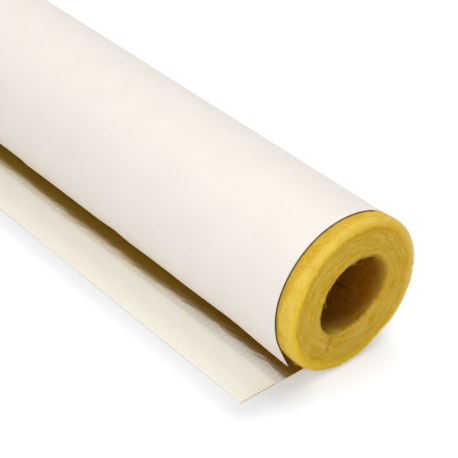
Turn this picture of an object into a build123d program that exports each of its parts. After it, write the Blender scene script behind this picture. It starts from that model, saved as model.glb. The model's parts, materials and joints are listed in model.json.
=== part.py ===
from build123d import *
import os

# A section of fiberglass pipe insulation, in millimetres: a wound wool tube that is slit so that it opens
# over a pipe, a one-sheet jacket with its sealing lap laid out flat, and the strip on the lap's adhesive.
# The origin is in the middle of the bore, whose axis is Y. Z is up, and the lap lies towards -X.
# Angles are degrees in the end view, from +X towards +Z.

# Wool tube
bore_diameter = 60.3
wool_wall = 27.0
wool_length = 914.4
rim_round = 5.0
bore_edge_round = 1.5
slit_angle = -118.5
slit_width = 0.8
hinge_angle = 46.0
hinge_width = 0.6
hinge_skin = 7.0

# Jacket, with the bond line that holds it to the wool
bond_line = 0.1
jacket_thickness = 0.4
bare_wool = 15.0
lap_reach = 83.0
free_edge_angle = 203.0
free_edge_run = 27.5

# Release strip on the lap
strip_width = 31.8
strip_thickness = 0.15
tooth_pitch = 2.65
tooth_depth = 1.3
tooth_overhang = 0.8

# Radii and lengths that follow from them
bore_radius = bore_diameter / 2
wool_radius = bore_radius + wool_wall
jacket_inner_radius = wool_radius + bond_line
jacket_outer_radius = jacket_inner_radius + jacket_thickness
jacket_length = wool_length - 2 * bare_wool
bottom_angle = -90.0


def knife_cut(angle, outer_radius, width):
    """A cut along the whole tube, from inside the bore out to a radius."""
    blade = Box(outer_radius, 2 * wool_length, width)
    return Rot(0, -angle, 0) * Pos(outer_radius / 2, 0, 0) * blade


def make_wool_tube():
    """The wall's section turned round the bore, with the slit cut through and the hinge cut part-way."""
    section = Pos(bore_radius + wool_wall / 2, 0) * Rectangle(wool_wall, wool_length)
    section = fillet(section.vertices().group_by(Axis.X)[-1], rim_round)
    section = fillet(section.vertices().group_by(Axis.X)[0], bore_edge_round)
    tube = revolve(section, Axis.Y)
    slit = knife_cut(slit_angle, 2 * wool_radius, slit_width)
    hinge = knife_cut(hinge_angle, wool_radius - hinge_skin, hinge_width)
    return tube - slit - hinge


def sheet_line(radius):
    """One face of the sheet in the end view: the lap along the floor, the wrap and the free edge."""
    lap = Line((-lap_reach, -radius), (0, -radius))
    wrap = CenterArc((0, 0), radius, bottom_angle, free_edge_angle - bottom_angle)
    free_edge = Line(wrap @ 1, wrap @ 1 + (wrap % 1) * free_edge_run)
    return [lap, wrap, free_edge]


def make_jacket():
    """One sheet that lies on the floor as the lap, wraps the wool, and springs off it at its free edge."""
    outside = sheet_line(jacket_outer_radius)
    inside = sheet_line(jacket_inner_radius)
    lap_edge = Line(outside[0] @ 0, inside[0] @ 0)
    free_tip = Line(outside[-1] @ 1, inside[-1] @ 1)
    section = make_face([*outside, *inside, lap_edge, free_tip])
    return extrude(Plane.XZ * section, jacket_length / 2, both=True)


def make_release_strip():
    """A flat strip along the lap's outer edge, with a row of teeth that stand out past each end of the lap."""
    tooth_count = round(strip_width / tooth_pitch)
    half_tooth = strip_width / tooth_count / 2
    tip = jacket_length / 2 + tooth_overhang
    root = tip - tooth_depth
    steps = range(2 * tooth_count + 1)
    far_end = [(-lap_reach + step * half_tooth, tip if step % 2 else root) for step in steps]
    near_end = [(x, -y) for x, y in reversed(far_end)]
    outline = make_face(Polyline(*far_end, *near_end, close=True))
    return extrude(Pos(0, 0, -jacket_inner_radius) * outline, strip_thickness)


os.makedirs("parts", exist_ok=True)
export_step(make_wool_tube(), "parts/wool_tube.step")
export_step(make_jacket(), "parts/jacket.step")
export_step(make_release_strip(), "parts/release_strip.step")
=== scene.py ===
import json
import random
from math import atan2, cos, exp, hypot, pi, radians, sin, tan

import bmesh
import bpy
from mathutils import Matrix, Vector, noise


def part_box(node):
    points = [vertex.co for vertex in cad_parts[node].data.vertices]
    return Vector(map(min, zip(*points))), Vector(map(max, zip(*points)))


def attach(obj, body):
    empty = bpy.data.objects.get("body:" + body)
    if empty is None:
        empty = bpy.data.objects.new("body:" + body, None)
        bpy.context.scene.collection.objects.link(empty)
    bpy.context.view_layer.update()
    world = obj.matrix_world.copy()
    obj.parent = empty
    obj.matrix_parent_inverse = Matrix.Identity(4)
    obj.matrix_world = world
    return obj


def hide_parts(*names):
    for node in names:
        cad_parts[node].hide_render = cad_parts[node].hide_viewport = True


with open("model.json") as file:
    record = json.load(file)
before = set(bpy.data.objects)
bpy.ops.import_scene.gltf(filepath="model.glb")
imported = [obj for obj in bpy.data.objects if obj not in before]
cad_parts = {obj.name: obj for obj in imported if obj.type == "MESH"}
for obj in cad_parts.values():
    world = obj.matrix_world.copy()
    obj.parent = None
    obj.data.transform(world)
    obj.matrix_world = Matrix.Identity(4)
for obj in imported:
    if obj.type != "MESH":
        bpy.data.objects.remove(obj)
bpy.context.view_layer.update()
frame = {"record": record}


# Wool tube
# Glass wool, spun in fine fibres, wound in layers on a mandrel and cured with a yellow binder.
# It is sawn to length, slit through on one side and scored on the other, so that it opens over a pipe.

wool_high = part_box("wool_tube")[1]
mounts = {mount["name"]: mount for mount in frame["record"]["mounts"]}
bore_radius = mounts["pipe_bore"]["dims"]["r_mm"] / 1000
wool_radius = wool_high.z
wool_half = wool_high.y
rim_round = 0.005
bore_edge_round = 0.0015
slit_angle = radians(-118.5)
slit_gap = 0.0008
hinge_angle = radians(46)
hinge_reach = 0.010
seam_angle = radians(-42)
bare_length = wool_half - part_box("jacket")[1].y


def smooth_step(low, high, value):
    """0 at low, 1 at high, and an even curve between them."""
    share = min(max((value - low) / (high - low), 0), 1)
    return share * share * (3 - 2 * share)


def swell(distance, width):
    """A round hump, 1 high, that dies away over about twice its width."""
    return exp(-(distance / width) ** 2)


def turn_between(angle, other):
    """The angle from one direction to another, from minus half a turn to half a turn."""
    return (angle - other + pi) % (2 * pi) - pi


def facing(angle, middle, spread):
    """A hump round the tube: 1 in its middle direction, dying away over its spread. Both are in degrees."""
    return swell(turn_between(angle, radians(middle)), radians(spread))


def stray_cut(angle):
    """How far the jacket's end strays towards the wool's end, because the sheet isn't cut quite true."""
    upper_stray, lower_stray = 0.0016, 0.0007
    return upper_stray * facing(angle, 75, 30) + lower_stray * facing(angle, 187, 12)


def turn_wool_section():
    """The wall's section, rounded at its corners and turned from one side of the slit to the other."""
    fine_step, long_step, skin_zone, bore_zone = 0.00095, 0.030, 0.0205, 0.036
    turn_steps = 400
    mesh = bmesh.new()
    outline = [
        (bore_radius, -wool_half), (wool_radius, -wool_half),
        (wool_radius, skin_zone - wool_half), (wool_radius, wool_half - skin_zone),
        (wool_radius, wool_half), (bore_radius, wool_half),
        (bore_radius, wool_half - bore_zone), (bore_radius, bore_zone - wool_half),
    ]
    corners = [mesh.verts.new((x, y, 0)) for x, y in outline]
    mesh.faces.new(corners)
    rounds = ((corners[1], rim_round, 8), (corners[4], rim_round, 8))
    rounds += ((corners[0], bore_edge_round, 3), (corners[5], bore_edge_round, 3))
    for corner, size, segments in rounds:
        bmesh.ops.bevel(mesh, geom=[corner], offset=size, offset_type="OFFSET", affect="VERTICES",
                        segments=segments, profile=0.5, material=-1)
    for edge in mesh.edges[:]:
        step = long_step if edge.calc_length() > 2 * bore_zone else fine_step
        cuts = round(edge.calc_length() / step) - 1
        if cuts > 0:
            bmesh.ops.subdivide_edges(mesh, edges=[edge], cuts=cuts)
    gap_turn = slit_gap / bore_radius
    to_slit = Matrix.Rotation(-(slit_angle + gap_turn / 2), 4, "Y")
    bmesh.ops.transform(mesh, matrix=to_slit, verts=mesh.verts[:])
    bmesh.ops.spin(mesh, geom=mesh.verts[:] + mesh.edges[:] + mesh.faces[:], cent=(0, 0, 0),
                   axis=(0, -1, 0), angle=2 * pi - gap_turn, steps=turn_steps)
    bmesh.ops.recalc_face_normals(mesh, faces=mesh.faces[:])
    return mesh


def end_height(radius, angle, end):
    """How far the sawn end stands out at a place, and how much painted hollow shade and outer lip it has."""
    layer_pitch, layer_height, layer_wander = 0.0021, 0.0010, 0.0014
    crease_depth, dish_depth, slit_depth, hinge_depth = 0.0003, 0.0011, 0.0030, 0.0009
    slit_width, hinge_width, hinge_sway = 0.0018, 0.0012, 0.0015
    mouth_wear, top_lean, left_lean = 0.0034, 0.0018, 0.0012
    inward = wool_radius - radius
    from_bore = radius - bore_radius

    ring = Vector((0, cos(angle), sin(angle)))
    wander = layer_wander * noise.noise(ring * 1.7 + Vector((3 * end, 0, 0)))
    turns = (radius + wander) / layer_pitch + angle / (2 * pi)
    layer = 0.65 * noise.noise(Vector((turns, 5 * end, 0)) + ring * 3.2)
    layer += 0.35 * noise.noise(Vector((2.1 * turns, 9 * end, 0)) + ring * 8)

    right = facing(angle, 8, 32)
    lip_edge = 0.0044 + 0.0022 * facing(angle, 80, 34) + 0.0030 * right
    lip_edge += 0.0045 * facing(angle, -112, 58)
    lip_edge += 0.0009 * noise.noise(ring * 2.6 + Vector((0, 4 * end, 0)))
    crease_width = 0.0018 + 0.0018 * right
    crease = swell(inward - lip_edge - 0.0008, crease_width)
    crease *= 0.15 + 0.85 * max(facing(angle, 78, 62), 0.5 * right)
    dish = smooth_step(0.003, 0.010, inward) * smooth_step(0, 0.012, from_bore)

    slit_way = radius * turn_between(angle, slit_angle)
    slit_open = 1 - smooth_step(0.55, 0.80, radius / wool_radius)
    slit_hollow = swell(slit_way, slit_width) * (0.1 + 0.9 * slit_open)
    hinge_way = radius * turn_between(angle, hinge_angle)
    hinge_way += hinge_sway * noise.noise(Vector((radius * 240, 0, end)))
    hinge_hollow = swell(hinge_way, hinge_width) * (1 - smooth_step(0, hinge_reach, from_bore))

    height = layer_height * layer - crease_depth * crease - dish_depth * dish
    height -= slit_depth * slit_hollow + hinge_depth * hinge_hollow
    height -= mouth_wear * facing(angle, -75, 60) * (1 - smooth_step(0, 0.0075, from_bore))
    if end < 0:
        rim = smooth_step(0.72, 1.0, radius / wool_radius)
        height -= top_lean * rim * facing(angle, 72, 46)
        height += left_lean * rim * facing(angle, 182, 34)
    # The hollows of the layers, the crease, the slit and the score take painted amber shade.
    hollow_shade = 0.4 * smooth_step(0.05, -0.40, layer) * smooth_step(0.002, 0.005, inward)
    lip = smooth_step(lip_edge + 0.0012, 0.5 * lip_edge, inward)
    return height, max(hollow_shade, crease, slit_hollow, 0.6 * hinge_hollow), lip


def skin_height(place, radius, angle, depth, end):
    """How far the wool stands off its turned form, and how much of the bore's seam a place is."""
    drawn_in, swollen, gap_drop = 0.0004, 0.0006, 0.0005
    right_bulge, low_dent = 0.0021, 0.0013
    seam_width, seam_height, seam_sway = 0.0009, 0.0008, 0.002
    near_skin = smooth_step(0.8, 1.0, radius / wool_radius)
    near_bore = 1 - smooth_step(0, 0.004, radius - bore_radius)
    gap_side = smooth_step(radians(62), radians(67), angle % (2 * pi))
    edge_depth = bare_length - stray_cut(angle)
    bare = 1 - smooth_step(edge_depth - 0.0001 - 0.0007 * gap_side, edge_depth + 0.0006, depth)
    lumps = 0.0002 * noise.noise(place * 45) + 0.0001 * noise.noise(place * 190)
    height = near_skin * (bare * lumps - (1 - bare) * drawn_in)
    height += near_skin * bare * (swollen - gap_drop * gap_side)
    if end < 0:
        bulge = right_bulge * facing(angle, -14, 30) - low_dent * facing(angle, -58, 16)
        height += near_skin * bare * bulge
    height += near_bore * (0.0007 * noise.noise(place * 48) + 0.0004 * noise.noise(place * 200))
    seam_way = radius * turn_between(angle, seam_angle)
    seam_way += seam_sway * noise.noise(Vector((0, place.y * 40, 0)))
    seam = near_bore * swell(seam_way, seam_width) * smooth_step(0.017, 0.036, depth)
    return height + seam_height * seam, seam


def fringe_glow_mark(place, angle, inward, depth):
    """How much painted glow a place has, where light shows through the fringe: along the rim's edge, most on
    the right.
    """
    worn = 0.5 + 0.5 * noise.noise(place * 90)
    right_side = facing(angle, 0, 58)
    edge = worn * (0.12 + 0.88 * right_side)
    edge *= swell(depth - 0.0010, 0.0022)
    edge *= swell(inward - 0.0015, 0.0022)
    # The right side's outer band is painted pale, where light shows through it.
    lit_through = right_side * smooth_step(0.0042, 0.0006, inward) * smooth_step(0.011, 0.002, depth)
    return max(edge, lit_through * (0.6 + 0.4 * worn))


def rim_highlight_mark(place, angle, inward, depth):
    """How much painted highlight a place has, in a pale band behind the rim. The band is widest on the left.
    """
    band_end = 0.0046 + 0.0053 * facing(angle, 172, 34) + 0.0015 * noise.noise(place * 60)
    band = smooth_step(0.0006, 0.0022, depth) * smooth_step(band_end + 0.003, band_end - 0.001, depth)
    round_way = abs(turn_between(angle, radians(140)))
    band *= smooth_step(radians(98), radians(70), round_way) * (1 - 0.35 * smooth_step(0.005, 0.008, depth))
    return band * smooth_step(0.0034, 0.0016, inward) * (0.75 + 0.5 * noise.noise(place * 110))


def gap_shade_mark(angle, depth):
    """How much painted shade a place has, in a narrow line along the jacket's end, where the gap lies in
    shadow.
    """
    width = 0.0013 + 0.0013 * facing(angle, 190, 14)
    return smooth_step(width, 0, bare_length - stray_cut(angle) - depth)


def skin_and_shade_mark(angle, from_bore, depth):
    """How much brown cured skin and painted shade the bore has: darker further in, and from further in at
    the bottom.
    """
    in_bore = smooth_step(0.0030, 0.0008, from_bore)
    sheltered = depth - 0.007 * facing(angle, -108, 32)
    sheltered += 0.006 * facing(angle, 70, 70)
    browned_and_shaded = 0.55 * smooth_step(0.0005, 0.005, sheltered) + 0.40 * smooth_step(0.002, 0.016, sheltered)
    return in_bore * browned_and_shaded


def shape_wool(mesh):
    """Moves the turned wall to the form of sawn wool, and marks each point for the wool's colours and
    painted light.
    """
    ragged, slit_pull, closed_gap = 0.0007, 0.007, 0.00002
    kinds = ("hollow_shade", "lip", "fringe_glow", "skin_and_shade", "seam", "rim_highlight", "gap_shade")
    marks = {kind: mesh.verts.layers.float.new(kind) for kind in kinds}
    for vert in mesh.verts:
        place = vert.co.copy()
        radius, angle = hypot(place.x, place.z), atan2(place.z, place.x)
        end = 1 if place.y > 0 else -1
        depth = wool_half - abs(place.y)
        inward = wool_radius - radius
        on_end = 1 - smooth_step(0, 0.008, depth)
        height, hollow_shade, lip = end_height(radius, angle, end)
        height += 0.0008 * noise.noise(place * 75) + 0.0005 * noise.noise(place * 300)
        height *= 1 - 0.8 * smooth_step(0.006, 0.001, inward)
        vert[marks["hollow_shade"]] = hollow_shade * on_end
        vert[marks["lip"]] = lip * (1 - smooth_step(0.0008, 0.0045, depth))
        vert[marks["fringe_glow"]] = fringe_glow_mark(place, angle, inward, depth)
        vert[marks["skin_and_shade"]] = skin_and_shade_mark(angle, radius - bore_radius, depth)
        vert[marks["rim_highlight"]] = rim_highlight_mark(place, angle, inward, depth)
        vert[marks["gap_shade"]] = gap_shade_mark(angle, depth)

        slit_way = radius * turn_between(angle, slit_angle)
        half_gap = slit_gap / bore_radius * radius / 2
        wanted_gap = slit_gap * 0.8 * (1 - smooth_step(0.66, 0.80, radius / wool_radius)) + closed_gap
        pull = exp(-max(abs(slit_way) - half_gap, 0) / slit_pull)
        move = (wanted_gap - half_gap) * (1 if slit_way > 0 else -1)
        move += ragged * noise.noise(Vector((radius * 420, 3, place.y * 60)))
        angle += move * pull / radius
        skin_rise, vert[marks["seam"]] = skin_height(place, radius, angle, depth, end)
        radius += skin_rise
        vert.co = (radius * cos(angle), place.y + end * height * on_end, radius * sin(angle))


def new_piece(name, mesh, *materials):
    """Makes an object of a mesh, with its materials, that moves with the one body."""
    data = bpy.data.meshes.new(name)
    mesh.to_mesh(data)
    mesh.free()
    for polygon in data.polygons:
        polygon.use_smooth = True
    data.set_sharp_from_angle(angle=radians(55))
    for material in materials:
        data.materials.append(material)
    piece = bpy.data.objects.new(name, data)
    bpy.context.scene.collection.objects.link(piece)
    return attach(piece, "root")


def new_material(name):
    """An empty node material."""
    material = bpy.data.materials.new(name)
    material.use_nodes = True
    material.node_tree.nodes.clear()
    return material


def add_node(owner, kind, inputs, **settings):
    """Adds a shader node. An input takes a number, a colour, a socket, or a node's first output."""
    made = owner.node_tree.nodes.new("ShaderNode" + kind)
    for name, value in settings.items():
        setattr(made, name, value)
    for name, value in inputs.items():
        socket = made.inputs[name]
        if isinstance(value, bpy.types.Node):
            value = value.outputs[0]
        if isinstance(value, bpy.types.NodeSocket):
            owner.node_tree.links.new(value, socket)
        elif socket.type == "RGBA":
            socket.default_value = (*value, 1)
        else:
            socket.default_value = value
    return made


def add_math(owner, operation, *values, **settings):
    """Adds a sum on numbers and sockets."""
    return add_node(owner, "Math", dict(enumerate(values)), operation=operation, **settings)


def add_range(owner, value, low, high, start=0, stop=1, **settings):
    """Goes from start to stop while a value goes from low to high, and holds them beyond."""
    return add_node(owner, "MapRange", {
        "Value": value, "From Min": low, "From Max": high, "To Min": start, "To Max": stop}, **settings)


def add_mix(owner, share, first, second):
    """A first colour that gives way to a second one by a share."""
    return add_node(owner, "MixRGB", {"Fac": share, "Color1": first, "Color2": second})


def add_mark(owner, kind):
    """A number that each point of the mesh carries."""
    return add_node(owner, "Attribute", {}, attribute_name=kind).outputs["Fac"]


def add_noise(owner, place, scale, detail=3, roughness=0.55):
    """Noise that is stretched by a scale for each axis, in features per metre."""
    stretched = add_node(owner, "Mapping", {"Vector": place, "Scale": scale})
    return add_node(owner, "TexNoise", {
        "Vector": stretched, "Scale": 1, "Detail": detail, "Roughness": roughness})


def add_ramp(owner, factor, stops):
    """A colour for each place on a scale from 0 to 1."""
    ramp = add_node(owner, "ValToRGB", {"Fac": factor})
    elements = ramp.color_ramp.elements
    while len(elements) < len(stops):
        elements.new(1)
    for element, (place, colour) in zip(elements, stops):
        element.position = place
        element.color = (*colour, 1)
    return ramp


def glass_wool():
    """Yellow wool whose streaks follow the wound layers, with painted shade and highlights, and paler on its
    lip.
    """
    tan_wool, gold, amber = (0.95, 0.665, 0.15), (0.95, 0.620, 0.055), (0.83, 0.455, 0.014)
    band_shade_gold, edge_shade_brown, gap_shade_brown = (0.77, 0.50, 0.030), (0.58, 0.33, 0.022), (0.30, 0.170, 0.018)
    lip_gold, highlight_straw, glow_straw = (0.95, 0.665, 0.020), (0.96, 0.765, 0.155), (0.98, 0.86, 0.36)
    matted_brown, hollow_shade_amber = (0.60, 0.33, 0.015), (0.86, 0.46, 0.008)
    pale_fibre, thin_fibre = (0.94, 0.745, 0.19), (0.92, 0.675, 0.11)
    dark_skin_shade, light_skin_shade, seam_brown = (0.30, 0.095, 0.0015), (0.41, 0.140, 0.003), (0.09, 0.026, 0.001)
    fuzz_straw = (1.0, 0.90, 0.48)
    skin_depth, band_shade_depth, relief_depth = 0.0030, 0.0008, 0.0010
    material = new_material("glass_wool")
    place = add_node(material, "TexCoord", {}).outputs["Object"]
    turned = add_node(material, "Mapping", {"Vector": place, "Rotation": (0, slit_angle - pi, 0)})
    axes = add_node(material, "SeparateXYZ", {"Vector": turned})
    across = add_node(material, "CombineXYZ", {"X": axes.outputs["X"], "Z": axes.outputs["Z"]})
    radius = add_node(material, "VectorMath", {0: across}, operation="LENGTH").outputs["Value"]
    angle = add_math(material, "ARCTAN2", axes.outputs["Z"], axes.outputs["X"])
    arc = add_math(material, "MULTIPLY", angle, (bore_radius + wool_radius) / 2)
    wound = add_node(material, "CombineXYZ", {"X": radius, "Y": arc, "Z": axes.outputs["Y"]})

    patches = add_noise(material, wound, (90, 45, 80), detail=5, roughness=0.6)
    streaks = add_noise(material, wound, (850, 60, 190), detail=5, roughness=0.75)
    fibres = add_noise(material, wound, (1900, 240, 420), detail=3, roughness=0.7)
    slanted = add_node(material, "Mapping", {"Vector": wound, "Rotation": (radians(38), 0, 0)})
    cross_fibres = add_noise(material, slanted, (2100, 1500, 180), detail=3, roughness=0.65)
    shade = add_math(material, "MULTIPLY_ADD", streaks, 1.15, -0.20)
    shade = add_math(material, "MULTIPLY_ADD", patches, 0.3, shade)
    colour = add_ramp(material, shade, [(0.40, amber), (0.52, gold), (0.66, tan_wool)])

    # Painted shade: the bare band's outer skin is darker, most on the left, and browner towards the jacket's
    # edge.
    from_middle = add_math(material, "ABSOLUTE", axes.outputs["Y"])
    edge_shade = add_range(material, from_middle, wool_half - bare_length, wool_half - rim_round, 1, 0)
    band_shade = add_mix(material, edge_shade, band_shade_gold, edge_shade_brown)
    sideways = add_node(material, "SeparateXYZ", {"Vector": place}).outputs["X"]
    band_shade_share = add_range(material, sideways, -0.3 * wool_radius, 0.4 * wool_radius, 0.75, 0.2)
    outside = add_range(material, radius, wool_radius - skin_depth, wool_radius - band_shade_depth, 0, band_shade_share)
    colour = add_mix(material, outside, colour, band_shade)
    lip = add_math(material, "MULTIPLY", add_mark(material, "lip"), 0.85)
    colour = add_mix(material, lip, colour, lip_gold)
    # Painted highlight: a pale straw band behind the rim, where it faces the light.
    rim_highlight = add_math(material, "MULTIPLY", add_mark(material, "rim_highlight"), 0.8, use_clamp=True)
    colour = add_mix(material, rim_highlight, colour, highlight_straw)

    matted = add_range(material, fibres, 0.43, 0.28, 0, 0.6)
    deep = add_range(material, cross_fibres, 0.47, 0.28, 0, 0.55)
    deep = add_math(material, "MAXIMUM", deep, matted)
    colour = add_mix(material, deep, colour, matted_brown)
    # Painted highlight: a pale straw glow on the fringe, most on the right side, where light shows through
    # the fibres.
    fringe_glow = add_mark(material, "fringe_glow")
    colour = add_mix(material, fringe_glow, colour, glow_straw)
    # Painted shade: amber in the hollows, the crease behind the rim, the slit and the hinge score.
    hollow_shade = add_math(material, "MULTIPLY", add_mark(material, "hollow_shade"), 0.85)
    colour = add_mix(material, hollow_shade, colour, hollow_shade_amber)
    tangle = add_range(material, lip, 0, 1, 0.35, 0.12)
    pale = add_range(material, fibres, 0.53, 0.70, 0, tangle)
    colour = add_mix(material, pale, colour, pale_fibre)
    thin = add_range(material, cross_fibres, 0.56, 0.75, 0, tangle)
    colour = add_mix(material, thin, colour, thin_fibre)

    # Painted shadow: the gap under the jacket's edge, as a dark brown line on the gap side only.
    gap_side = add_range(material, sideways, 0.40 * wool_radius, 0.47 * wool_radius, 1, 0)
    gap_shade_line = add_math(material, "MULTIPLY", add_mark(material, "gap_shade"), gap_side)
    on_skin = add_math(material, "GREATER_THAN", radius, wool_radius - skin_depth)
    gap_shade_line = add_math(material, "MULTIPLY", gap_shade_line, on_skin)
    colour = add_mix(material, gap_shade_line, colour, gap_shade_brown)
    # The bore's cured skin, with painted shade that deepens further into the bore.
    bore_skin_and_shade = add_ramp(material, fibres, [(0.35, dark_skin_shade), (0.65, light_skin_shade)])
    colour = add_mix(material, add_mark(material, "skin_and_shade"), colour, bore_skin_and_shade)
    seam = add_math(material, "MULTIPLY", add_mark(material, "seam"), 0.55)
    colour = add_mix(material, seam, colour, seam_brown)

    height = add_math(material, "ADD", fibres, cross_fibres)
    soft = add_math(material, "MAXIMUM", fringe_glow, lip)
    hold = add_range(material, soft, 0, 1, 0.9, 0.3)
    relief = add_node(material, "Bump", {"Height": height, "Strength": hold, "Distance": relief_depth})
    fuzz = add_math(material, "MULTIPLY", fringe_glow, 0.8)
    shader = add_node(material, "BsdfPrincipled", {
        "Base Color": colour, "Roughness": 1.0, "Specular IOR Level": 0.03, "Normal": relief,
        "Subsurface Weight": 0.1, "Subsurface Radius": (1.0, 0.6, 0.15), "Subsurface Scale": 0.003,
        "Sheen Weight": fuzz, "Sheen Roughness": 0.4, "Sheen Tint": fuzz_straw,
    })
    add_node(material, "OutputMaterial", {"Surface": shader})
    return material


wool_mesh = turn_wool_section()
shape_wool(wool_mesh)
wool = new_piece("wool", wool_mesh, glass_wool())
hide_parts("wool_tube")


# Loose fibres
# The saw pulls fibres out of the wool's ends. They lie bowed over the bare wool, mostly along the way it
# was wound, and stand off its rim and the mouth of its bore as a soft fuzz.

floor_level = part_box("jacket")[0].z
fibre_count = 6500
fibre_radius = 0.00006
shortest_fibre, longest_fibre = 0.002, 0.0075
usual_lift, highest_lift = 0.0005, 0.0020


def fibre_share(face):
    """How thickly fibres lie on a face: none under the jacket, and most on the rim and the bore's edge."""
    depth = wool_half - abs(face.center.y)
    radius = hypot(face.center.x, face.center.z)
    if depth > bare_length - 0.001 and radius > (bore_radius + wool_radius) / 2:
        return 0
    if depth > 0.005 and radius < bore_radius + 0.003:
        return 0
    right_side = facing(atan2(face.center.z, face.center.x), -8, 70)
    rim = swell(depth - 0.002, 0.006) * smooth_step(0.007, 0.001, wool_radius - radius)
    rim *= 1 + 1.5 * right_side
    mouth = swell(depth, 0.003) * smooth_step(0.004, 0.0005, radius - bore_radius)
    mouth *= smooth_step(-0.010, 0.010, face.center.z)
    side = 1.0 if face.center.y < 0 else 0.5
    return face.area * side * (0.15 + 2.0 * rim + 0.25 * mouth)


def lay_fibres(name, chance):
    """A mesh of many short fibres, each rooted in the wool and bowed over it, and thinner at its tip."""
    clear_of_wool, clear_of_floor = 0.0001, 0.0002
    curve = bpy.data.curves.new(name, "CURVE")
    curve.dimensions = "3D"
    curve.bevel_depth = fibre_radius
    curve.bevel_resolution = 0
    curve.use_fill_caps = True
    faces = sorted(wool.data.polygons, key=lambda face: sorted(face.vertices))
    rooted = chance.choices(faces, weights=[fibre_share(face) for face in faces], k=fibre_count)
    for face in rooted:
        root = face.center.copy()
        out = face.normal.copy()
        wound_way = Vector((-root.z, 0, root.x)).normalized() * chance.choice((-1, 1))
        wound_way = Matrix.Rotation(chance.gauss(0, 0.55), 3, out) @ wound_way
        wound_way -= out * wound_way.dot(out)
        side_way = out.cross(wound_way)
        reach = chance.uniform(shortest_fibre, longest_fibre)
        lift = min(chance.expovariate(1 / usual_lift), highest_lift)
        bow = chance.gauss(0, 0.15) * reach
        steps = ((0, -0.4, 0), (0.33, 0.55, 0.6), (0.67, 0.95, 1.0), (1, chance.uniform(0.3, 1.3), 0.2))
        spline = curve.splines.new("POLY")
        spline.points.add(len(steps) - 1)
        for point, (share, rise, swerve) in zip(spline.points, steps):
            spot = root + wound_way * (reach * share) + out * (lift * rise + clear_of_wool)
            spot += side_way * (bow * swerve)
            spot.z = max(spot.z, floor_level + clear_of_floor)
            point.co = (*spot, 1)
            point.radius = 1 - 0.65 * share
    drawn = bpy.data.objects.new(name + "_drawn", curve)
    bpy.context.scene.collection.objects.link(drawn)
    tubes = drawn.evaluated_get(bpy.context.evaluated_depsgraph_get()).to_mesh()
    mesh = bmesh.new()
    mesh.from_mesh(tubes)
    bpy.data.objects.remove(drawn)
    return mesh


def loose_fibre():
    """Yellow glass fibre, lighter and darker from place to place, and painted pale on the right side, where
    light shows through it.
    """
    dark_straw, light_straw, fibre_glow_straw = (0.86, 0.58, 0.05), (0.94, 0.74, 0.17), (0.98, 0.93, 0.66)
    material = new_material("loose_fibre")
    place = add_node(material, "TexCoord", {}).outputs["Object"]
    tone = add_noise(material, place, (420, 420, 420), detail=2)
    colour = add_ramp(material, tone, [(0.35, dark_straw), (0.65, light_straw)])
    sideways = add_node(material, "SeparateXYZ", {"Vector": place}).outputs["X"]
    # Painted highlight: fibres on the right side are paler, where light shows through them.
    fibre_glow = add_range(material, sideways, 0.6 * wool_radius, 0.95 * wool_radius, 0, 0.8)
    colour = add_mix(material, fibre_glow, colour, fibre_glow_straw)
    shader = add_node(material, "BsdfPrincipled", {
        "Base Color": colour, "Roughness": 0.7, "Specular IOR Level": 0.2,
    })
    add_node(material, "OutputMaterial", {"Surface": shader})
    return material


fibres = new_piece("loose_fibres", lay_fibres("loose_fibres", random.Random(11)), loose_fibre())


# Jacket
# One sheet of laminate: white paper outside, a scrim of glass threads, and foil inside. It is bonded round
# the wool, one edge springs free of it, and the other runs on along the floor as the sealing lap.

jacket_low, jacket_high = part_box("jacket")
jacket_radius = jacket_high.z
jacket_half = jacket_high.y
jacket_thickness = 0.00025
lap_reach = -jacket_low.x
free_edge_turn = radians(293)
free_edge_run = 0.0275
wrap_length = jacket_radius * free_edge_turn
sheet_width = lap_reach + wrap_length + free_edge_run
adhesive_width = 0.0314
thread_slant = radians(11.1)


def lap_lift(across, along):
    """How far the lap stands off the floor: a low buckle beside the tube, and slight waves."""
    buckle_height, buckle_place, buckle_width, wave_height = 0.0006, 0.046, 0.009, 0.0002
    buckle = buckle_height * swell(across - buckle_place, buckle_width)
    buckle *= 1 + 0.5 * noise.noise((along * 9, 4.1, 0))
    waves = wave_height * (1 + noise.noise((across * 22, along * 14, 2.7)))
    flat_end = smooth_step(0, 0.020, jacket_half - abs(along))
    return (buckle + waves) * smooth_step(lap_reach, lap_reach - 0.025, across) * flat_end


def edge_draw(free, along, end_distance):
    """How far the free edge bends in from a straight run: part of the wool's curve, and small kinks."""
    hug = 0.10 + 0.42 * smooth_step(0, 0.075, end_distance) - 0.13 * smooth_step(0.045, 0.100, end_distance)
    hug += 0.10 * noise.noise((along * 9, 8.3, 0))
    from_near_end = along + jacket_half
    kink = 0.0005 * abs(noise.noise((along * 16, 1.7, 0))) + 0.0008 * swell(from_near_end - 0.195, 0.011)
    kink += 0.0006 * smooth_step(0.311, 0.317, from_near_end)
    return hug * free * free / (2 * jacket_radius) + kink * (free / free_edge_run) ** 2


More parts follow.
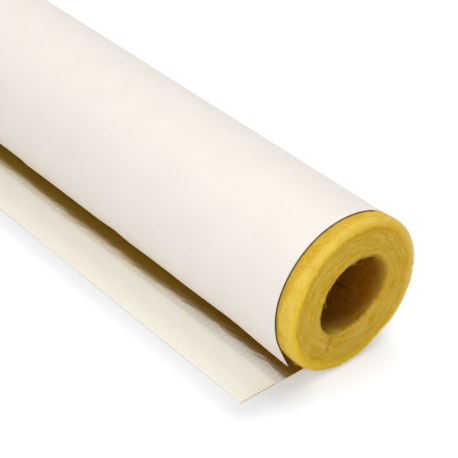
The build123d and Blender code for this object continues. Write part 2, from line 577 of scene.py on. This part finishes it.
def wrap_sheet(across, along):
    """Where a point of the flat sheet comes to lie, on its paper side."""
    flare_height, flare_length, ripple_height, stray_length = 0.0002, 0.007, 0.00012, 0.03
    if across < lap_reach:
        return Vector((across - lap_reach, along, lap_lift(across, along) - jacket_radius))
    end_distance = jacket_half - abs(along)
    free = max(across - lap_reach - wrap_length, 0)
    turn = min(across - lap_reach, wrap_length) / jacket_radius - pi / 2
    sprung_side = smooth_step(radians(62), radians(68), turn)
    flare = flare_height * swell(end_distance, flare_length) * sprung_side
    ripple = ripple_height * (1 + noise.noise((turn * 3, along * 11, 5.0)))
    ripple *= smooth_step(-pi / 2, -pi / 4, turn)
    radius = jacket_radius + flare + ripple
    along *= 1 + stray_cut(turn) / jacket_half * swell(end_distance, stray_length)
    outward = Vector((cos(turn), 0, sin(turn)))
    onward = Vector((-sin(turn), 0, cos(turn)))
    inset = edge_draw(free, along, end_distance)
    return outward * (radius - inset) + onward * free + Vector((0, along, 0))


def bend_sheet(sheet_mesh, place):
    """Keeps each point's place on the flat sheet as an attribute, and moves the point to where it lies."""
    flat_layer = sheet_mesh.verts.layers.float_vector.new("flat")
    for vert in sheet_mesh.verts:
        vert[flat_layer] = (vert.co.x, vert.co.y, 0)
        vert.co = place(vert.co.x, vert.co.y)


def cut_sheet(columns, rows, width, half_length, crowd):
    """A flat grid with its edge along Y, whose rows stand closer together towards both ends."""
    mesh = bmesh.new()
    bmesh.ops.create_grid(mesh, x_segments=columns, y_segments=rows, size=1)
    for vert in mesh.verts:
        vert.co.x = (vert.co.x + 1) / 2 * width
        vert.co.y = half_length * sin(crowd * vert.co.y) / sin(crowd)
    return mesh


def add_thickness(piece, thickness):
    """Gives a sheet its thickness behind its faces, with its second material there, and crisp edges."""
    solid = piece.modifiers.new("thickness", "SOLIDIFY")
    solid.thickness = thickness
    solid.offset = -1
    solid.material_offset = 1
    thick = bpy.data.meshes.new_from_object(piece.evaluated_get(bpy.context.evaluated_depsgraph_get()))
    piece.modifiers.clear()
    thick.set_sharp_from_angle(angle=radians(55))
    piece.data = thick


def add_threads(material, flat):
    """Masks of the scrim: slanting threads that cross in long diamonds, and the fine threads across them."""
    thread_spacing, cross_spacing = 0.0104, 0.0054
    thread_half, cross_half, thread_sway = 0.00042, 0.00035, 0.0009
    first_crossing = (0.0422, 0.0264 - jacket_half, 0)
    from_crossing = add_node(material, "VectorMath", {0: flat, 1: first_crossing}, operation="SUBTRACT")
    axes = add_node(material, "SeparateXYZ", {"Vector": from_crossing})
    wander = add_noise(material, flat, (60, 60, 60), detail=1)
    sway = add_math(material, "SUBTRACT", wander, 0.5)
    sway = add_math(material, "MULTIPLY_ADD", sway, thread_sway, axes.outputs["X"])
    masks = []
    for lean in (tan(thread_slant), -tan(thread_slant)):
        moved = add_math(material, "MULTIPLY_ADD", axes.outputs["Y"], lean, sway)
        away = add_math(material, "PINGPONG", moved, thread_spacing / 2)
        masks.append(add_range(material, away, 0, thread_half, 1, 0))
    slanting = add_math(material, "MAXIMUM", *masks)
    away = add_math(material, "PINGPONG", axes.outputs["Y"], cross_spacing / 2)
    cross = add_range(material, away, 0, cross_half, 1, 0)
    return slanting, cross


def white_paper():
    """Bleached kraft paper, faintly clouded, with the scrim just telling through it, and painted brown shade
    at its ends.
    """
    shaded_white, clear_white = (0.848, 0.795, 0.727), (0.878, 0.824, 0.756)
    speck_grey, end_shade_brown = (0.45, 0.42, 0.38), (0.46, 0.31, 0.11)
    end_shade_start, end_shade_end, relief_depth = 0.00035, 0.00005, 0.00010
    material = new_material("white_paper")
    flat = add_node(material, "Attribute", {}, attribute_name="flat").outputs["Vector"]
    slanting, cross = add_threads(material, flat)
    pulp = add_noise(material, flat, (900, 500, 1), detail=4, roughness=0.7)
    cloud = add_noise(material, flat, (45, 30, 1), detail=4, roughness=0.6)
    colour = add_ramp(material, cloud, [(0.30, shaded_white), (0.70, clear_white)])
    specks = add_noise(material, flat, (260, 260, 1), detail=0)
    speck = add_range(material, specks, 0.86, 0.90, 0, 0.3)
    colour = add_mix(material, speck, colour, speck_grey)
    axes = add_node(material, "SeparateXYZ", {"Vector": flat})
    # Painted shade: a thin brown line along the bonded ends, where the gap at the jacket's edge lies in
    # shadow.
    from_middle = add_math(material, "ABSOLUTE", axes.outputs["Y"])
    end_shade = add_range(material, from_middle, jacket_half - end_shade_start, jacket_half - end_shade_end)
    bonded = add_math(material, "GREATER_THAN", axes.outputs["X"], lap_reach)
    end_shade = add_math(material, "MULTIPLY", end_shade, bonded)
    colour = add_mix(material, end_shade, colour, end_shade_brown)
    thread = add_math(material, "MAXIMUM", slanting, cross)
    height = add_math(material, "MULTIPLY_ADD", thread, 0.6, pulp)
    relief = add_node(material, "Bump", {"Height": height, "Strength": 0.3, "Distance": relief_depth})
    shader = add_node(material, "BsdfPrincipled", {
        "Base Color": colour, "Roughness": 0.62, "Specular IOR Level": 0.35, "Normal": relief,
    })
    add_node(material, "OutputMaterial", {"Surface": shader})
    return material


def scrim_foil():
    """Dull foil drawn over scrim threads, painted light grey beside the strip and a painted gold reflection
    in the shelter.
    """
    far_reflection_gold, near_reflection_gold, half_shade_gold = (1.0, 0.92, 0.27), (0.93, 0.73, 0.17), (0.90, 0.76, 0.46)
    lit_grey, highlight_white, thread_grey = (0.90, 0.870, 0.810), (1.0, 0.99, 0.97), (0.42, 0.39, 0.35)
    adhesive_tan = (0.55, 0.44, 0.25)
    narrowed, edge_wave, brush_length, relief_depth = 0.0043, 0.004, 0.020, 0.00025
    material = new_material("scrim_foil")
    flat = add_node(material, "Attribute", {}, attribute_name="flat").outputs["Vector"]
    slanting, cross = add_threads(material, flat)
    axes = add_node(material, "SeparateXYZ", {"Vector": flat})
    across = axes.outputs["X"]
    from_middle = add_math(material, "ABSOLUTE", axes.outputs["Y"])
    near_end = add_range(material, from_middle, jacket_half - 0.120, jacket_half - 0.040, 0.1, 1)

    smooth = {"interpolation_type": "SMOOTHSTEP"}
    narrowing = add_range(material, from_middle, jacket_half - 0.145, jacket_half - 0.090, narrowed, 0,
                          **smooth)
    dull = add_noise(material, flat, (40, 25, 1), detail=3)
    along_thread = add_node(material, "Mapping", {"Vector": flat, "Rotation": (0, 0, -thread_slant)})
    brushed = add_noise(material, along_thread, (1000, 40, 1), detail=4, roughness=0.7)
    edge = add_math(material, "MULTIPLY_ADD", dull, edge_wave, across)
    edge = add_math(material, "MULTIPLY_ADD", brushed, brush_length, edge)
    edge = add_math(material, "ADD", edge, narrowing)
    # Painted light: grey where light falls beside the strip; gold further in, as a painted reflection of the
    # wool in the free edge's shade.
    lit_zone = add_range(material, edge, 0.0495, 0.0565, 1, 0, **smooth)
    shelter = add_range(material, edge, 0.0530, 0.0610, 0.5, 0, **smooth)
    half_shade = add_range(material, edge, 0.0545, 0.0605, 1, 0, **smooth)

    # Painted glints on the slanting threads in the shelter, and painted highlights on them where light
    # falls, fading away from the near end.
    bead = add_noise(material, flat, (330, 330, 1), detail=1)
    bead = add_range(material, bead, 0.40, 0.62, 0.25, 1)
    glint = add_math(material, "MULTIPLY", slanting, bead)
    glint = add_math(material, "MULTIPLY", glint, shelter)
    glint = add_math(material, "MULTIPLY", glint, near_end)
    thread_highlight = add_math(material, "MULTIPLY", slanting, lit_zone)
    thread_highlight = add_math(material, "MULTIPLY", thread_highlight, near_end)
    lit_zone_and_glint = add_math(material, "MAXIMUM", lit_zone, glint)
    roughness = add_range(material, lit_zone_and_glint, 0, 1, 0.30, 0.60)
    metal = add_range(material, lit_zone_and_glint, 0, 1, 0.97, 0.55)
    metal = add_math(material, "SUBTRACT", metal, thread_highlight, use_clamp=True)

    # The gold changes from the near end to the far one as painted light falloff.
    colour = add_mix(material, near_end, far_reflection_gold, near_reflection_gold)
    colour = add_mix(material, half_shade, colour, half_shade_gold)
    colour = add_mix(material, add_range(material, lit_zone_and_glint, 0.30, 0.95), colour, lit_grey)
    colour = add_mix(material, thread_highlight, colour, highlight_white)
    relief_share = add_range(material, lit_zone, 0, 1, 0.1, 0.9)
    dark = add_math(material, "MULTIPLY", cross, relief_share)
    dark = add_math(material, "MULTIPLY", dark, 0.33)
    colour = add_mix(material, dark, colour, thread_grey)
    glued = add_math(material, "LESS_THAN", across, adhesive_width)
    colour = add_mix(material, glued, colour, adhesive_tan)

    crinkle = add_noise(material, flat, (700, 300, 1), detail=3)
    thread = add_math(material, "MULTIPLY_ADD", cross, 0.3, slanting)
    height = add_math(material, "MULTIPLY_ADD", crinkle, 0.35, thread)
    relief = add_node(material, "Bump", {
        "Height": height, "Strength": relief_share, "Distance": relief_depth})
    shader = add_node(material, "BsdfPrincipled", {
        "Base Color": colour, "Metallic": metal, "Roughness": roughness, "Normal": relief,
    })
    add_node(material, "OutputMaterial", {"Surface": shader})
    return material


jacket_mesh = cut_sheet(200, 150, sheet_width, jacket_half, 1.42)
bend_sheet(jacket_mesh, wrap_sheet)
bmesh.ops.reverse_faces(jacket_mesh, faces=jacket_mesh.faces[:])
jacket = new_piece("jacket_sheet", jacket_mesh, white_paper(), scrim_foil())
add_thickness(jacket, jacket_thickness)
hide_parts("jacket")


# Release strip
# A strip of cream siliconed paper that covers the adhesive along the lap's outer edge until the jacket is
# closed. It is torn off the roll with a toothed blade, so its ends are pinked.

strip_low, strip_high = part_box("release_strip")
tooth_count = 12
tooth_depth = 0.0019
tooth_overhang = 0.0003
strip_width = strip_high.x - strip_low.x
strip_reach = jacket_half + tooth_overhang
strip_thickness = strip_high.z - strip_low.z


def lay_strip(across, along):
    """A point of the strip, lying on the lap."""
    lift = lap_lift(across, max(min(along, jacket_half), -jacket_half)) + jacket_thickness + strip_thickness
    return Vector((across - lap_reach, along, lift - jacket_radius))


def cut_teeth(mesh):
    """Draws every second point of the two end rows inwards, so that teeth stand between them."""
    half_tooth = strip_width / tooth_count / 2
    for vert in mesh.verts:
        at_end = abs(vert.co.y) > strip_reach - 1e-6
        if at_end and round(vert.co.x / half_tooth) % 2 == 0:
            vert.co.y -= tooth_depth if vert.co.y > 0 else -tooth_depth


def release_paper():
    """Cream paper with a thin silicone shine and a faint warm mottle, painted lighter along its inner side,
    against the tube's shade.
    """
    warm_cream, cream, cool_cream = (0.860, 0.817, 0.698), (0.883, 0.840, 0.743), (0.892, 0.844, 0.763)
    lit_inner_cream = (0.975, 0.935, 0.845)
    lit_inner_start, relief_depth = 0.016, 0.00015
    material = new_material("release_paper")
    flat = add_node(material, "Attribute", {}, attribute_name="flat").outputs["Vector"]
    cloud = add_noise(material, flat, (240, 160, 1), detail=5, roughness=0.7)
    pulp = add_noise(material, flat, (800, 800, 1), detail=3)
    tint = add_math(material, "MULTIPLY_ADD", pulp, 0.25, cloud)
    colour = add_ramp(material, tint, [(0.48, warm_cream), (0.62, cream), (0.76, cool_cream)])
    across = add_node(material, "SeparateXYZ", {"Vector": flat}).outputs["X"]
    # Painted light: lighter towards the inner side, where the tube shades the strip.
    lit_inner = add_range(material, across, lit_inner_start, strip_width, 0, 0.95, interpolation_type="SMOOTHSTEP")
    colour = add_mix(material, lit_inner, colour, lit_inner_cream)
    relief = add_node(material, "Bump", {"Height": tint, "Strength": 0.3, "Distance": relief_depth})
    shader = add_node(material, "BsdfPrincipled", {
        "Base Color": colour, "Roughness": 0.5, "Specular IOR Level": 0.4, "Normal": relief,
    })
    add_node(material, "OutputMaterial", {"Surface": shader})
    return material


strip_mesh = cut_sheet(2 * tooth_count, 150, strip_width, strip_reach, 1.2)
cut_teeth(strip_mesh)
bend_sheet(strip_mesh, lay_strip)
strip = new_piece("release_paper_strip", strip_mesh, release_paper())
add_thickness(strip, strip_thickness)
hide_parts("release_strip")


# Stage
# A pale floor that goes to white, and soft light from overhead, from the front left and, weakly, from the
# left side. The camera stands where the photograph was taken from.

floor_half = 8
shade_fade = 0.045
floor_glow_level = 0.37
ambient_level = 0.39
floor_mesh = bmesh.new()
bmesh.ops.create_grid(floor_mesh, x_segments=1, y_segments=1, size=floor_half)
bmesh.ops.translate(floor_mesh, verts=floor_mesh.verts[:], vec=(0, 0, -jacket_radius))
floor_data = bpy.data.meshes.new("floor")
floor_mesh.to_mesh(floor_data)
floor_mesh.free()
floor = bpy.data.objects.new("floor", floor_data)
bpy.context.scene.collection.objects.link(floor)


def seen_directly(owner):
    """1 for what the camera sees straight, mirrored or through glass, and 0 for light on the object."""
    path = add_node(owner, "LightPath", {}).outputs
    seen = add_math(owner, "MAXIMUM", path["Is Camera Ray"], path["Is Glossy Ray"])
    return add_math(owner, "MAXIMUM", seen, path["Is Transmission Ray"])


floor_white = new_material("floor_white")
floor_place = add_node(floor_white, "TexCoord", {}).outputs["Object"]
# Painted shadow: the floor's glow is left out along the lap's outer edge and fades in over a short way.
shade_half = Vector((0.009, jacket_half, 0))
shade_middle = Vector((jacket_low.x + shade_half.x, 0, -jacket_radius))
from_shade = add_node(floor_white, "VectorMath", {0: floor_place, 1: shade_middle}, operation="SUBTRACT")
from_shade = add_node(floor_white, "VectorMath", {0: from_shade}, operation="ABSOLUTE")
from_shade = add_node(floor_white, "VectorMath", {0: from_shade, 1: shade_half}, operation="SUBTRACT")
from_shade = add_node(floor_white, "VectorMath", {0: from_shade, 1: (0, 0, 0)}, operation="MAXIMUM")
from_shade = add_node(floor_white, "VectorMath", {0: from_shade}, operation="LENGTH").outputs["Value"]
floor_glow = add_range(floor_white, from_shade, 0, shade_fade, 0, floor_glow_level,
                       interpolation_type="SMOOTHSTEP")
floor_glow = add_math(floor_white, "MULTIPLY", seen_directly(floor_white), floor_glow)
floor_matt = add_node(floor_white, "BsdfDiffuse", {"Color": (0.825, 0.835, 0.86)})
floor_lift = add_node(floor_white, "Emission", {"Color": (0.93, 0.96, 1), "Strength": floor_glow})
floor_shader = add_node(floor_white, "AddShader", {0: floor_matt, 1: floor_lift})
add_node(floor_white, "OutputMaterial", {"Surface": floor_shader})
floor_data.materials.append(floor_white)

studio = bpy.data.worlds.new("studio")
studio.use_nodes = True
studio.node_tree.nodes.clear()
sky_level = add_range(studio, seen_directly(studio), 0, 1, ambient_level, 1)
sky = add_node(studio, "Background", {"Color": (1, 1, 1), "Strength": sky_level})
add_node(studio, "OutputWorld", {"Surface": sky})
bpy.context.scene.world = studio


def hang_light(light, towards, distance):
    """Hangs a light at a distance from the middle of the near end, shining towards it."""
    lamp = bpy.data.objects.new(light.name, light)
    lamp.rotation_mode = "QUATERNION"
    lamp.rotation_quaternion = Vector(towards).to_track_quat("-Z", "Y")
    lamp.location = Vector((0, -jacket_half, 0)) - Vector(towards).normalized() * distance
    bpy.context.scene.collection.objects.link(lamp)


overhead_key = bpy.data.lights.new("overhead_key", "SUN")
overhead_key.energy = 1.59
overhead_key.angle = radians(60)
hang_light(overhead_key, (-0.15, -0.25, -1), 3)

front_fill = bpy.data.lights.new("front_fill", "AREA")
front_fill.shape = "DISK"
front_fill.size = 1.6
front_fill.energy = 4.4
hang_light(front_fill, (0.75, 0.35, -0.56), 1)

side_fill = bpy.data.lights.new("side_fill", "SUN")
side_fill.energy = 0.22
side_fill.angle = radians(60)
hang_light(side_fill, (0.9, 0.1, -0.35), 3)

camera_data = bpy.data.cameras.new("photo_camera")
camera_data.sensor_width = 36
camera_data.lens = 113.4
camera = bpy.data.objects.new("photo_camera", camera_data)
camera_place = Vector((-9.906, -8.873, 10.104)) * jacket_radius - Vector((0, jacket_half, 0))
pan, tilt, roll = radians(-42.55), radians(54.71), radians(2.90)
camera_turn = Matrix.Rotation(pan, 4, "Z") @ Matrix.Rotation(tilt, 4, "X") @ Matrix.Rotation(roll, 4, "Z")
camera.matrix_world = Matrix.Translation(camera_place) @ camera_turn
bpy.context.scene.collection.objects.link(camera)
bpy.context.scene.camera = camera
bpy.context.scene.view_settings.view_transform = "Standard"
